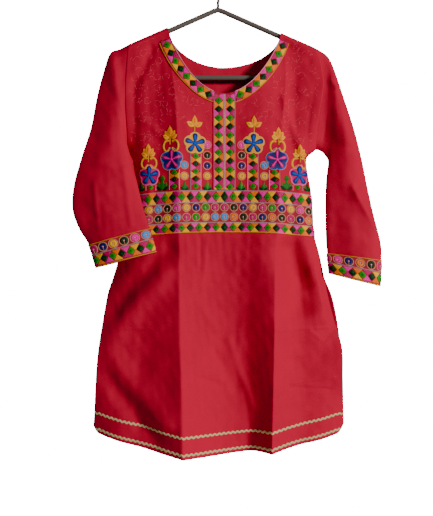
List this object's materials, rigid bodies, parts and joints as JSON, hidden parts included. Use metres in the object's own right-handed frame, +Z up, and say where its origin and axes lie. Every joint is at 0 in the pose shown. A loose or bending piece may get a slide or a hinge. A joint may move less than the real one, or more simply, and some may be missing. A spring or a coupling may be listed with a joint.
{
  "type": "embroidered kurti tunic on a clothes hanger",
  "caption": "Red cotton kurti tunic with elbow sleeves, embroidered neck, placket, waist and cuffs, and braid above a slit hem, hung on a plain tubular hanger.",
  "frame": {"origin": "inside top of the hanger's hook, where a rail or nail holds it", "axes": "+Z up, -Y out of the kurti's front, +X towards the viewer's right"},
  "size_m": [0.6105, 0.136, 0.951],
  "materials": {
    "cotton": "plain weave, matt with a faint sheen",
    "border": "closely embroidered cotton",
    "thread": "lustrous satin-stitch thread",
    "cord": "couched gold cord",
    "braid": "woven zigzag braid",
    "plastic": "dark grey, softly satin"
  },
  "bodies": {
    "root": {"front_bodice": "cotton", "front_skirt": "cotton", "back": "cotton", "sleeve_l": "cotton", "sleeve_r": "cotton", "cuff_l": "border", "cuff_r": "border", "neck_border": "border", "placket": "border", "waist_border": "border", "braid_front_upper": "braid", "braid_front_lower": "braid", "braid_back_upper": "braid", "braid_back_lower": "braid", "hanger": "plastic"}
  },
  "joints": []
}
